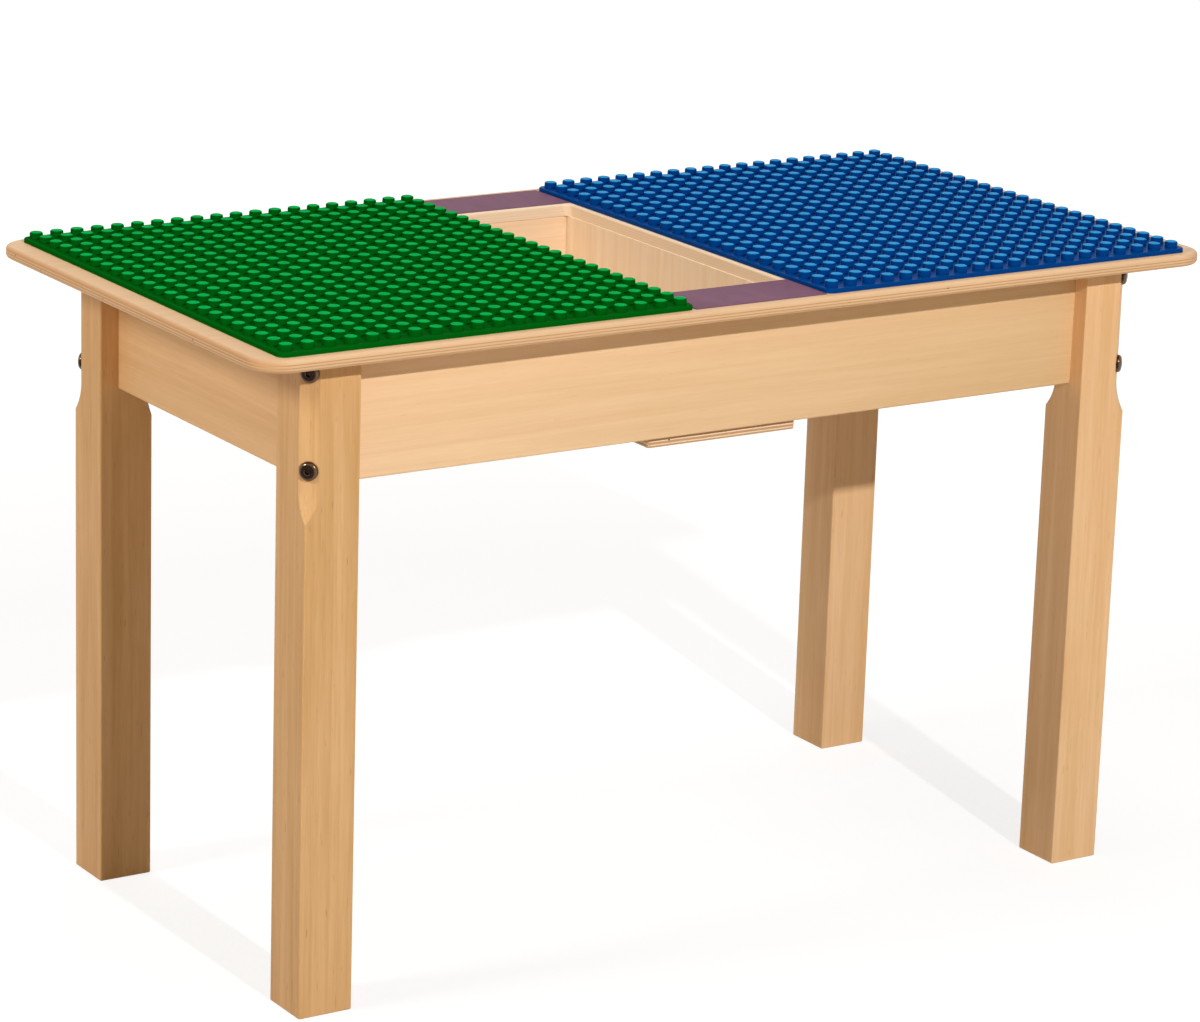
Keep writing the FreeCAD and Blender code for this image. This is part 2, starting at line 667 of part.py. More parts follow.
def make_corners():
    """The legs, and the blocks that they are bolted to."""
    leg, block = make_leg(), make_corner_block()
    nodes = []
    for (side_x, side_y), name in CORNERS.items():
        place = along_bolts(side_x, side_y, "0", "0")
        nodes += [copies("leg_" + name, leg, [place]), copies("corner_block_" + name, block, [place])]
    return nodes


def make_fasteners():
    """Bolts, nuts and screws, one sub-part for each kind."""
    block_screw = make_screw("block_screw", "block_screw_grip + block_screw_bite")
    top_screw = make_screw("top_screw", "top_screw_grip + top_screw_bite")
    bottom_screw = make_screw("bottom_screw", "well_bottom_thickness + bottom_screw_bite")
    into_top = [(x, y, "leg_height - top_screw_grip", 0, 180) for x, y in top_screw_spots()]
    into_walls = [(x, y, "well_bottom_low", 0, 180) for x, y in bottom_screw_spots()]
    return [copies("leg_bolts", make_bolt(), bolt_places("leg_flat")),
            copies("tee_nuts", make_tee_nut(), bolt_places("-block_back")),
            copies("block_screws", block_screw, block_screw_places()),
            copies("top_screws", top_screw, into_top),
            copies("well_bottom_screws", bottom_screw, into_walls)]


def check(nodes):
    """Stops when any object failed or a sub-part has no sound shape."""
    for item in doc.Objects:
        if "Invalid" in item.State or "Error" in item.State:
            raise RuntimeError("%s failed: %s" % (item.Name, item.State))
    for node in nodes:
        if node.Shape.isNull() or not node.Shape.isValid():
            raise RuntimeError("%s has no sound shape" % node.Label)


def write(nodes):
    """Writes each sub-part's shape to its own file."""
    os.makedirs("parts", exist_ok=True)
    for node in nodes:
        node.Shape.exportStep("parts/%s.step" % node.Label)
        print("%-26s %4d solids %12.1f mm3" % (node.Label, len(node.Shape.Solids), node.Shape.Volume))


make_sheets()
table = make_boards() + make_well() + make_corners() + make_fasteners()
doc.recompute()
check(table)
write(table)
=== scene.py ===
import bpy
import numpy as np
from bpy.props import FloatProperty, FloatVectorProperty, IntProperty, PointerProperty
from mathutils import Matrix, Vector


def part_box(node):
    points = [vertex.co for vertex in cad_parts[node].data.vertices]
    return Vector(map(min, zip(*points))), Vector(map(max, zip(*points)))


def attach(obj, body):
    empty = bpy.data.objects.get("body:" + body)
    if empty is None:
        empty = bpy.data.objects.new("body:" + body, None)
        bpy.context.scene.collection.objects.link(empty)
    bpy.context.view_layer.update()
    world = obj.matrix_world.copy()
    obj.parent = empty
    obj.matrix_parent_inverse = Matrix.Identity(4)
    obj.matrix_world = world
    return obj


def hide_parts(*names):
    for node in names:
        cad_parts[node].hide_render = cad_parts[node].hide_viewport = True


bl_info = {
    "name": "Building Block Play Table",
    "version": (1, 0, 0),
    "blender": (4, 5, 0),
    "location": "View3D > Sidebar > Play Table",
    "description": "Dresses a low play table with two studded building plates and a storage well",
    "category": "Add Mesh",
}

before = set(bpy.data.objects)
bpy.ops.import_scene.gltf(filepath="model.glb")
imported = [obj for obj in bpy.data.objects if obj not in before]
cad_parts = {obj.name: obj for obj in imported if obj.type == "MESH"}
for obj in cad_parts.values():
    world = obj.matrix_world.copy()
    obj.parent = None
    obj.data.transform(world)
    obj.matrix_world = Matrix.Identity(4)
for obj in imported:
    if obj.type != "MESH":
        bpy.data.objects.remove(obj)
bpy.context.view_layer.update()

MM = 0.001
ALONG, ACROSS, UPRIGHT = 0, 1, 2    # axes of the table, for boards and their grain

WHITE = (1.0, 1.0, 1.0)
WARM = (1.0, 0.93, 0.82)

# Of each lamp: its name, the setting of its power, its place, its width in metres, its tint, and
# whether it shows in reflections only or in everything but them
LAMPS = (
    # A small strong light from the front, a broad one from high on the left, one above
    ("key_light", "key", (-0.32, -3.6, 2.23), 0.08, WHITE, False),
    ("side_light", "side", (-3.2, 0.15, 2.2), 0.8, WARM, False),
    ("overhead_light", "overhead", (0.3, 0.6, 2.6), 1.0, WHITE, False),
    # Two small boxes beside the first two, which metal and plastic mirror
    ("front_box", "box", (0.6, -3.3, 2.4), 0.7, WHITE, True),
    ("left_box", "box", (-3.3, -0.3, 2.4), 0.7, WHITE, True),
)
LAMPS_AIM = (0.0, 0.0, 0.3)

CAMERA_PLACE = (-1.70132, -2.61146, 1.15207)
CAMERA_AZIMUTH, CAMERA_ELEVATION, CAMERA_ROLL = -33.0448, 15.7813, 1.8228    # in degrees


def span(name):
    """Lowest and highest corner of a node of the frame, in metres."""
    low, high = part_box(name)
    return np.array(low), np.array(high)


def linear(hex_colour):
    """Turns an sRGB hex value into linear red, green and blue."""
    srgb = np.array([int(hex_colour[i:i + 2], 16) for i in (1, 3, 5)]) / 255
    curve = ((srgb + 0.055) / 1.055) ** 2.4
    return tuple(np.where(srgb <= 0.04045, srgb / 12.92, curve).tolist())


# ---------------------------------------------------------------- sizes and colours to set

def size(name, description, default_mm):
    """A length that a user can set, given here in millimetres."""
    return FloatProperty(name=name, description=description, default=default_mm * MM, min=0.0,
                         unit="LENGTH", subtype="DISTANCE", precision=5)


def colour(name, description, hex_colour):
    """A colour that a user can set."""
    return FloatVectorProperty(name=name, description=description, default=linear(hex_colour),
                               size=3, min=0.0, max=1.0, subtype="COLOR")


def amount(name, description, default, limit=1.0):
    """A plain number from 0 up that a user can set."""
    return FloatProperty(name=name, description=description, default=default, min=0.0, max=limit)


def power(name, description, watts):
    """The power of a lamp."""
    return FloatProperty(name=name, description=description, default=watts, min=0.0, unit="POWER")


class TopSizes(bpy.types.PropertyGroup):
    """The plywood top with its opening."""
    corner: size("Corner radius", "Rounded corners of the top, seen from above", 24)
    edge: size("Edge radius", "Rounded long edges, above and below", 3)
    opening_length: size("Opening length", "Opening of the well, front to back", 281)
    opening_width: size("Opening width", "Opening of the well, along the table", 104)
    opening_corner: size("Opening corner", "Rounded corners of the opening", 6)
    opening_edge: size("Opening edge", "Rounded rim of the opening", 2)
    plies: IntProperty(name="Plies", description="Layers of veneer in the plywood",
                       default=7, min=3, max=21)


class PlateSizes(bpy.types.PropertyGroup):
    """The two studded building plates."""
    corner: size("Corner radius", "Rounded corners of a plate", 6)
    edge: size("Edge radius", "Softened upper edge of a plate", 1)
    stud: size("Stud diameter", "A round stud of a plate", 9.4)
    stud_height: size("Stud height", "Stud above its plate", 4.5)
    stud_edge: size("Stud edge", "Rounded upper edge of a stud", 1.1)
    pitch: size("Stud pitch", "Stud to stud", 16)


class LegSizes(bpy.types.PropertyGroup):
    """The four square legs with a flat on two of their corners."""
    edge: size("Edge radius", "Eased long edges of a leg", 1.3)
    foot: size("Foot radius", "Eased edges under a leg", 1.0)
    flat: size("Flat", "Corner cut back along each face for the bolts", 10)
    run_out: size("Run-out radius", "Arc in which the flat fades into the corner", 40)


class BoardSizes(bpy.types.PropertyGroup):
    """The aprons, the well and the strips beside it."""
    apron_edge: size("Apron edge", "Softened lower edges of an apron", 1.5)
    joint_edge: size("Joint edge", "Ends of a board where it meets another", 0.25)
    sheet_edge: size("Sheet edge", "Eased edges of the thin plywood", 0.8)
    wall_proud: size("Wall inset", "How far a well wall stands inside the opening of the top", 1)
    strip_edge: size("Strip edge", "Edge of the coloured strips", 0.2)


class BoltSizes(bpy.types.PropertyGroup):
    """The domed bolt heads on the legs."""
    head: size("Head diameter", "A bolt head", 13.2)
    height: size("Head height", "A bolt head above its flat", 3.6)
    rim: size("Rim height", "Straight part of the head below its dome", 0.8)
    crown: size("Crown diameter", "Flat middle of the head round its socket", 5.6)
    socket: size("Socket", "Hexagon socket across its flats", 4)
    depth: size("Socket depth", "Hexagon socket", 2.2)


class FinishSettings(bpy.types.PropertyGroup):
    """Colours of the materials."""
    leg_light: colour("Left legs, light", "Palest streaks of the left-hand legs", "#E3B783")
    leg_dark: colour("Left legs, dark", "Darker streaks of the left-hand legs", "#CE9E66")
    # Right-hand legs: a lighter copy of the leg maple, painted light
    pale_light: colour("Right legs, light", "Palest streaks of the right-hand legs", "#F6CC9D")
    pale_dark: colour("Right legs, dark", "Darker streaks of the right-hand legs", "#E8B883")
    apron_light: colour("Long aprons, light", "Palest streaks of the long aprons", "#FBD9B0")
    apron_dark: colour("Long aprons, dark", "Darker streaks of the long aprons", "#F1CA9E")
    # Painted shade: the front apron grows darker towards its right end
    apron_right_end_shade: FloatVectorProperty(
        name="Front apron, fade", default=(0.8, 0.76, 0.66), size=3, min=0.0, max=1.0,
        description="What the front apron's colour is multiplied by at its right end")
    back_light: colour("Back apron, light", "Palest streaks of the back apron", "#F9DDBB")
    back_dark: colour("Back apron, dark", "Darker streaks of the back apron", "#EFCDA7")
    end_light: colour("Short aprons, light", "Palest streaks of the short aprons", "#ECC293")
    end_dark: colour("Short aprons, dark", "Darker streaks of the short aprons", "#DDB17E")
    fleck: colour("Wood, flecks", "Fine dashes in the solid wood", "#A87443")
    ply_light: colour("Plywood, long grain", "Plies seen along their grain", "#E8C096")
    ply_dark: colour("Plywood, end grain", "Plies seen on their end grain", "#CB9B6C")
    well_light: colour("Well, light", "Palest streaks inside the well", "#F6E1C6")
    well_dark: colour("Well, dark", "Darker streaks inside the well", "#EED2B0")
    # Stud tops: a lighter colour painted where the studs face up, a painted highlight
    green_highlight: colour("Green, stud tops", "Rubbed tops of the green studs", "#00B655")
    green: colour("Green", "Green building plate", "#015E11")
    blue_highlight: colour("Blue, stud tops", "Rubbed tops of the blue studs", "#0097DC")
    blue: colour("Blue", "Blue building plate", "#023F86")
    green_sheen: amount("Green, sheen", "How strongly the green plate mirrors", 0.001)
    blue_sheen: amount("Blue, sheen", "How strongly the blue plate mirrors", 0.02)
    strip: colour("Strips", "Coloured strips beside the well", "#774F65")
    # Bolt heads: a painted reflection, the middle painted darker than the dome and rim
    bronze: colour("Bolts, middle", "Flat middle of the bronzed bolt heads", "#241B16")
    bronze_rim: colour("Bolts, rim", "Dome and rim of the bronzed bolt heads", "#6A523E")
    zinc: colour("Fittings", "Zinc-plated nuts and screws", "#B9BCC0")


class StageSettings(bpy.types.PropertyGroup):
    """Floor, lights and camera."""
    key: power("Key light", "The main light, from the front", 99)
    side: power("Side light", "The softer light from the left", 54)
    overhead: power("Overhead light", "The light from above", 14)
    box: power("Light boxes", "Each box that shows in reflections", 50)
    ambient: amount("Ambient", "Light of the pale room", 0.2, limit=10.0)
    lens: FloatProperty(name="Lens", description="Focal length on a 36 mm sensor", default=132.787,
                        min=1.0, unit="CAMERA")


class PlayTableSettings(bpy.types.PropertyGroup):
    """Everything about the table that can be set."""
    top: PointerProperty(type=TopSizes)
    plates: PointerProperty(type=PlateSizes)
    legs: PointerProperty(type=LegSizes)
    boards: PointerProperty(type=BoardSizes)
    bolts: PointerProperty(type=BoltSizes)
    finish: PointerProperty(type=FinishSettings)
    stage: PointerProperty(type=StageSettings)


# ---------------------------------------------------------------- surfaces

def rounded_outline(half_u, half_v, radius, steps=8):
    """Closed outlines of rounded rectangles, counter-clockwise, one for each set of values.

    Each point is the centre of its corner plus the radius times the cosine and sine of an
    angle that turns on by a quarter from corner to corner.
    """
    half_u, half_v, radius = np.broadcast_arrays(*np.atleast_1d(half_u, half_v, radius))
    half_u, half_v, radius = (x[:, None, None] for x in (half_u, half_v, radius))
    quarter = np.arange(4)[:, None] * np.pi / 2
    angle = quarter + np.linspace(0, np.pi / 2, steps + 1)
    side_u = np.array([1, -1, -1, 1])[:, None]
    side_v = np.array([1, 1, -1, -1])[:, None]
    u = side_u * (half_u - radius) + radius * np.cos(angle)
    v = side_v * (half_v - radius) + radius * np.sin(angle)
    return np.stack([u.reshape(len(u), -1), v.reshape(len(v), -1)], -1)


def quarter_round(radius, steps=5):
    """How far a quarter circle has moved inwards and forwards, from its start to its end.

    Inwards is the radius times one minus the cosine, forwards the radius times the sine.
    """
    angle = np.linspace(0, np.pi / 2, steps + 1)
    return radius * (1 - np.cos(angle)), radius * np.sin(angle)


def at_heights(outlines, heights):
    """Rings in space: one outline for each height."""
    height = np.broadcast_to(np.asarray(heights)[:, None, None], outlines.shape[:2] + (1,))
    return np.concatenate([outlines, height], -1)


def shell(rings, loop=False):
    """Points and faces of a surface over a grid of rings.

    Point j of ring i is joined to its neighbours on its own ring and on the next one. A loop
    joins the last ring to the first, otherwise a flat face closes each end.
    """
    rows, sides = rings.shape[:2]
    i, j = np.meshgrid(np.arange(rows if loop else rows - 1), np.arange(sides), indexing="ij")
    here, beyond, after = i * sides, (i + 1) % rows * sides, (j + 1) % sides
    quads = np.stack([here + j, here + after, beyond + after, beyond + j], -1).reshape(-1, 4)
    ends = np.array([np.arange(sides)[::-1], np.arange(sides) + (rows - 1) * sides])
    return rings.reshape(-1, 3), quads, ends[:0] if loop else ends


def copies_of(part, places, turns=np.eye(3)[None]):
    """The same shell at many places: each point is turned by a matrix and then moved."""
    points, quads, ends = part
    shift = (len(points) * np.arange(len(places)))[:, None, None]
    moved = np.einsum("kij,pj->kpi", np.broadcast_to(turns, (len(places), 3, 3)), points)
    moved = moved + np.asarray(places)[:, None, :]
    return (moved.reshape(-1, 3), (quads + shift).reshape(-1, 4),
            (ends + shift).reshape(-1, ends.shape[-1]))


def slab(low, high, corner, edge, axis=UPRIGHT):
    """A board with rounded corners seen along an axis, and softened edges at both of its ends.

    Every ring is a rounded rectangle. Near an end it shrinks as a quarter circle does while it
    moves the last edge radius outwards.
    """
    order = [(axis + 1) % 3, (axis + 2) % 3, axis]
    middle = (low + high) / 2
    half_u, half_v, half_w = ((high - low) / 2)[order]
    inward, forward = quarter_round(edge)
    inset = np.concatenate([inward[::-1], inward])
    height = np.concatenate([-half_w + edge - forward[::-1], half_w - edge + forward])
    outlines = rounded_outline(half_u - inset, half_v - inset, corner - inset)
    return shell(at_heights(outlines, height)[..., np.argsort(order)] + middle)


def top_surface(low, high, sizes):
    """The board with its opening, as one ring-shaped surface.

    Rings between the rounded outline of the board and that of the opening follow the board's
    cross-section: along the underside outwards, up over the outer edge, along the upper face
    inwards and down over the rim of the opening. An outline that lies further in or out has
    its corner radius changed by the same distance.
    """
    half = (high - low)[:2] / 2
    well = np.array([sizes.opening_width, sizes.opening_length]) / 2
    inward, forward = quarter_round(sizes.edge, steps=7)
    rim_in, rim_forward = quarter_round(sizes.opening_edge)
    outer_inset = np.concatenate([inward[::-1], inward])
    outer_height = np.concatenate([low[2] + sizes.edge - forward[::-1],
                                   high[2] - sizes.edge + forward])
    opening_inset = -np.concatenate([rim_in[::-1], [0]])
    opening_height = np.concatenate([high[2] - sizes.opening_edge + rim_forward[::-1], [low[2]]])
    outer = at_heights(rounded_outline(half[0] - outer_inset, half[1] - outer_inset,
                                       sizes.corner - outer_inset), outer_height)
    inner = at_heights(rounded_outline(well[0] - opening_inset, well[1] - opening_inset,
                                       sizes.opening_corner - opening_inset), opening_height)
    rings = np.concatenate([outer, inner])
    rings[..., :2] += (low + high)[:2] / 2
    return shell(rings, loop=True)


def stud_surface(radius, height, edge, sides=14):
    """A stud: circles up its side, drawn in at the top by a quarter circle in two steps."""
    angle = np.linspace(0, 2 * np.pi, sides, endpoint=False)
    inward, forward = quarter_round(edge, steps=2)
    radii = radius - np.concatenate([[0], inward])
    heights = np.concatenate([[-edge], height - edge + forward])
    circles = radii[:, None, None] * np.stack([np.cos(angle), np.sin(angle)], -1)
    return shell(at_heights(circles, heights))


def leg_outline(half, radius, cut):
    """Closed outlines of a square with two opposite corners cut flat, counter-clockwise.

    A cut corner is two eighths of a circle, one where each face of the leg meets the flat:
    their centres lie one radius inside both. A cut of the radius times two minus the root of
    two has no flat left and is a plain rounded corner.
    """
    half, radius, cut = (np.asarray(x, float)[:, None] for x in (half, radius, cut))
    eighth = np.linspace(0, np.pi / 4, num=4)
    near = half - cut + radius * (1 - np.sqrt(2))
    first = np.stack([half - radius + radius * np.cos(eighth), near + radius * np.sin(eighth)], -1)
    second = np.stack([near + radius * np.cos(eighth + np.pi / 4),
                       half - radius + radius * np.sin(eighth + np.pi / 4)], -1)
    quarter = np.linspace(np.pi / 2, np.pi, num=7)
    plain = np.stack([-(half - radius) + radius * np.cos(quarter),
                      half - radius + radius * np.sin(quarter)], -1)
    return np.concatenate([first, second, plain, -first, -second, -plain], axis=1)


def leg_surface(half, height, apron_low, sizes):
    """A leg: the outlines of its cut square from the foot to the top.

    The flat's distance from the middle is constant above the lower edge of the aprons. Below
    it grows by the run-out radius minus the root of its square less the square of the depth,
    which is a circular arc, until the flat has left the corner.
    """
    flat = (2 * half - sizes.flat) / np.sqrt(2)
    corner = (2 * half - sizes.edge * (2 - np.sqrt(2))) / np.sqrt(2)
    depth = np.sqrt(sizes.run_out ** 2 - (sizes.run_out - (corner - flat)) ** 2)
    inward, forward = quarter_round(sizes.foot, steps=4)
    run = np.linspace(depth, 0, num=25)
    heights = np.concatenate([sizes.foot - forward[::-1], [height / 3], apron_low - run, [height]])
    inset = np.concatenate([inward[::-1], np.zeros(len(heights) - len(inward))])
    below = np.clip(apron_low - heights, 0, depth)
    distance = flat + sizes.run_out - np.sqrt(sizes.run_out ** 2 - below ** 2)
    radius = sizes.edge - inset
    cut = np.maximum(2 * half - distance * np.sqrt(2), radius * (2 - np.sqrt(2)))
    return shell(at_heights(leg_outline(half - inset, radius, cut), heights))


def bolt_surface(sizes, sides=48):
    """A domed bolt head with a hexagon socket, its seat at height 0.

    The rings run from the floor of the socket up its wall, over the flat crown, down the dome
    and round the rim. The hexagon's radius is its half width divided by the cosine of the
    angle from the middle of the nearest flat. The dome widens as the sine of an angle and falls
    as a power of its cosine, which makes it a little fuller than the arc of an ellipse.
    """
    angle = np.linspace(0, 2 * np.pi, sides, endpoint=False)
    circle = np.stack([np.cos(angle), np.sin(angle)], -1)
    hexagon = circle / np.cos((angle + np.pi / 6) % (np.pi / 3) - np.pi / 6)[:, None]
    head, crown, socket, height = sizes.head / 2, sizes.crown / 2, sizes.socket / 2, sizes.height
    turn = np.linspace(0, np.pi / 2, num=9)    # from the crown to the rim
    dome = crown + (head - crown) * np.sin(turn)
    fullness = 0.9
    dome_height = sizes.rim + (height - sizes.rim) * np.cos(turn) ** fullness
    lip, seam, sunk = 0.25 * MM, 0.1 * MM, 0.3 * MM
    rings = [(hexagon * socket, height - sizes.depth), (hexagon * socket, height - lip),
             (hexagon * (socket + lip), height), (circle * (crown - lip), height)]
    rings += [(circle * radius, level) for radius, level in zip(dome, dome_height)]
    rings += [(circle * head, seam), (circle * (head - seam), -sunk)]
    outlines = np.stack([outline for outline, level in rings])[::-1]
    return shell(at_heights(outlines, [level for outline, level in rings][::-1]))


def new_piece(name, shells, material, replaced, sharp=40):
    """Makes one object from shells, at the origin, and hands it to the frame."""
    starts = np.cumsum([0] + [len(points) for points, quads, ends in shells])
    faces = []
    for start, (points, quads, ends) in zip(starts, shells):
        faces += (quads + start).tolist() + (ends + start).tolist()
    mesh = bpy.data.meshes.new(name)
    mesh.from_pydata(np.concatenate([points for points, quads, ends in shells]), [], faces)
    mesh.shade_smooth()
    mesh.set_sharp_from_angle(angle=np.radians(sharp))
    mesh.materials.append(material)
    piece = bpy.data.objects.new(name, mesh)
    bpy.context.scene.collection.objects.link(piece)
    normals = piece.modifiers.new("Flat faces", "WEIGHTED_NORMAL")
    normals.keep_sharp = True
    normals.weight = 100
    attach(piece, "root")
    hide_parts(*replaced)


# ---------------------------------------------------------------- materials

def node(tree, kind, inputs=None, stops=(), **settings):
    """Adds one shader node with its settings, its values or links, and the stops of a ramp.

    A link is a node with one of its outputs, or a node alone, for the first output that is in
    use. A colour is given without its opacity, which is full.
    """
    added = tree.nodes.new("ShaderNode" + kind)
    for name, setting in settings.items():
        setattr(added, name, setting)
    for name, content in (inputs or {}).items():
        socket = added.inputs[name]
        if isinstance(content, bpy.types.Node):
            content = content, [output.enabled for output in content.outputs].index(True)
        if isinstance(content, tuple) and isinstance(content[0], bpy.types.Node):
            tree.links.new(content[0].outputs[content[1]], socket)
        else:
            socket.default_value = (*content, 1.0) if socket.type == "RGBA" else content
    for number, (position, shade) in enumerate(stops):
        given = added.color_ramp.elements
        stop = given[number] if number < len(given) else given.new(position)
        stop.position, stop.color = position, (*shade, 1.0)
    return added


def new_tree(block):
    """The node tree of a new material or world, emptied."""
    block.use_nodes = True
    block.node_tree.nodes.clear()
    return block.node_tree


def toned(shade, factor):
    """A colour made darker or lighter."""
    return [min(1, factor * channel) for channel in shade]


def cells(width_mm, axis=UPRIGHT, stretch=1):
    """Scale of a pattern in cells so many millimetres wide, and longer along one axis."""
    scale = [1 / (width_mm * MM)] * 3
    scale[axis] /= stretch
    return scale


def lacquered(tree, wood, fibres, sheen):
    """The surface of wood under a thin coat of clear lacquer, with its fibres just felt."""
    relief = node(tree, "Bump", {"Height": fibres, "Strength": 0.08, "Distance": 0.2 * MM})
    return {"Base Color": wood, "Roughness": 0.45, "IOR": 1.5, "Specular IOR Level": sheen,
            "Normal": relief}


def maple(tree, axis, light, dark, fleck, streak_mm=22, marked=0.45, fade=WHITE, sheen=0.2):
    """Maple, planed, sanded and lacquered clear.

    The wood is pale and even, with broad soft streaks along the board, short fine dashes of
    darker fibre, and the low sheen of a thin coat of lacquer.
    """
    place = node(tree, "TexCoord"), "Object"
    # Streaks some centimetres wide and many times as long, the growth of some years together
    streaks = node(tree, "Mapping", {"Vector": place, "Scale": cells(streak_mm, axis, 14)})
    streaks = node(tree, "TexNoise", {"Vector": streaks, "Scale": 1.0, "Detail": 3.0,
                                      "Distortion": 0.8})
    # Growth rings 5 mm apart, drawn out along the board
    rings = node(tree, "Mapping", {"Vector": place, "Scale": cells(5, axis, 50),
                                   "Location": (3.1, 7.7, 5.3)})
    rings = node(tree, "TexNoise", {"Vector": rings, "Scale": 1.0, "Distortion": 0.8})
    # Fibres are under 0.1 mm wide: drawn 0.9 mm wide so that they show
    fibres = node(tree, "Mapping", {"Vector": place, "Scale": cells(0.9, axis, 25)})
    fibres = node(tree, "TexNoise", {"Vector": fibres, "Scale": 1.0, "Roughness": 0.6})
    grain = node(tree, "Math", {0: streaks, 1: 0.5}, operation="MULTIPLY")
    grain = node(tree, "Math", {0: rings, 1: 0.3, 2: grain}, operation="MULTIPLY_ADD")
    grain = node(tree, "Math", {0: fibres, 1: 0.2, 2: grain}, operation="MULTIPLY_ADD")
    wood = node(tree, "ValToRGB", {"Fac": grain}, [(0.38, dark), (0.62, light)])
    # Painted shade: a board may grow darker from its left end to its right, over 600 mm
    along = node(tree, "SeparateXYZ", {0: place}), "X"
    toward_right_end = node(tree, "MapRange", {"Value": along, "From Min": -300 * MM,
                                       "From Max": 300 * MM})
    wood = node(tree, "Mix", {0: toward_right_end, 6: wood, 7: fade}, data_type="RGBA",
                blend_type="MULTIPLY")
    # Dashes of darker fibre, about 0.8 mm wide and 6 mm long, a few on each board
    dashes = node(tree, "Mapping", {"Vector": place, "Scale": cells(1.7, axis, 8),
                                    "Location": (11.0, 2.0, 4.0)})
    dashes = node(tree, "TexNoise", {"Vector": dashes, "Scale": 1.0, "Detail": 1.0,
                                     "Roughness": 0.4})
    dashes = node(tree, "MapRange", {"Value": dashes, "From Min": 0.7, "From Max": 0.78,
                                     "To Max": marked})
    wood = node(tree, "Mix", {0: dashes, 6: wood, 7: fleck}, data_type="RGBA")
    return lacquered(tree, wood, fibres, sheen)


def plywood(tree, low, thickness, plies, grain_axis, finish, veneer, opening=(0.0, 0.0)):
    """Birch plywood, pressed from thin crossed veneers, sanded and lacquered clear.

    Its faces show one long-grained veneer. Its edges show the plies: pale where they are cut
    along the grain and darker on end grain, with a short void here and there. Round an opening,
    given by its half sizes to the rim, the edge is paler and its plies show less.
    """
    place = node(tree, "TexCoord"), "Object"
    spot = node(tree, "SeparateXYZ", {0: place})
    normal = node(tree, "SeparateXYZ", {0: (node(tree, "NewGeometry"), "Normal")})
    facing = [node(tree, "Math", {0: (normal, axis)}, operation="ABSOLUTE") for axis in "XYZ"]
    # The plies wander by a tenth of a millimetre over some centimetres
    wander = node(tree, "Mapping", {"Vector": place, "Scale": cells(40)})
    wander = node(tree, "TexNoise", {"Vector": wander, "Scale": 1.0})
    height = node(tree, "Math", {0: wander, 1: 0.35 * MM, 2: (spot, "Z")},
                  operation="MULTIPLY_ADD")
    # The uppermost veneer is thicker than the others: they end at four fifths of the height
    ply = node(tree, "MapRange", {"Value": height, "From Min": low + 0.17 * MM,
                                  "From Max": low + 0.8 * thickness, "To Max": plies})
    # 1 on the middle of every second ply, whose grain runs across the others
    crossed = node(tree, "Math", {0: ply, 1: 2.0}, operation="FLOORED_MODULO")
    crossed = node(tree, "Math", {0: crossed, 1: 1.5, 2: 0.36}, operation="COMPARE")
    # 1 on the edges and 0 on the faces
    edge = node(tree, "MapRange", {"Value": facing[UPRIGHT], "From Min": 0.97, "From Max": 0.995,
                                   "To Min": 1.0, "To Max": 0.0})
    ends = facing[ALONG], facing[ACROSS]
    along, across = ends if grain_axis == ALONG else ends[::-1]
    end_grain = node(tree, "Mix", {0: crossed, 2: along, 3: across}, data_type="FLOAT")
    end_grain = node(tree, "Math", {0: end_grain, 1: edge}, operation="MULTIPLY")
    # 1 within the opening's rim
    within = [node(tree, "Math", {0: (spot, axis), 1: 0.0, 2: half}, operation="COMPARE")
              for axis, half in zip("XY", opening)]
    within = node(tree, "Math", dict(enumerate(within)), operation="MULTIPLY")
    # Within the rim the edge is mixed three quarters of the way to the well's pale tone
    sanded = node(tree, "Math", {0: within, 1: 0.75}, operation="MULTIPLY")
    # Short dark voids in the crossed plies, some millimetres long
    gaps = node(tree, "Mapping", {"Vector": place, "Scale": cells(5), "Location": (0.0, 4.2, 0.0)})
    gaps = node(tree, "TexNoise", {"Vector": gaps, "Scale": 1.0, "Detail": 1.0})
    gaps = node(tree, "MapRange", {"Value": gaps, "From Min": 0.72, "From Max": 0.75,
                                   "To Max": 0.9})
    void = node(tree, "Math", {0: gaps, 1: crossed}, operation="MULTIPLY")
    void = node(tree, "Math", {0: void, 1: edge}, operation="MULTIPLY")
    # Veneer figure: streaks 9 mm wide, and fibres drawn 0.8 mm wide so that they show
    streaks = node(tree, "Mapping", {"Vector": place, "Scale": cells(9, grain_axis, 25)})
    streaks = node(tree, "TexNoise", {"Vector": streaks, "Scale": 1.0, "Detail": 3.0,
                                      "Roughness": 0.6, "Distortion": 0.6})
    fibres = node(tree, "Mapping", {"Vector": place, "Scale": cells(0.8, grain_axis, 25)})
    fibres = node(tree, "TexNoise", {"Vector": fibres, "Scale": 1.0})
    figure = node(tree, "Math", {0: fibres, 1: 0.35, 2: streaks}, operation="MULTIPLY_ADD")
    wood = node(tree, "ValToRGB", {"Fac": figure}, [(0.45, toned(veneer, 0.9)), (0.85, veneer)])
    for share, shade in ((end_grain, finish.ply_dark), (void, toned(finish.ply_dark, 0.25)),
                         (sanded, finish.well_light)):
        wood = node(tree, "Mix", {0: share, 6: wood, 7: shade}, data_type="RGBA")
    return lacquered(tree, wood, fibres, 0.2)


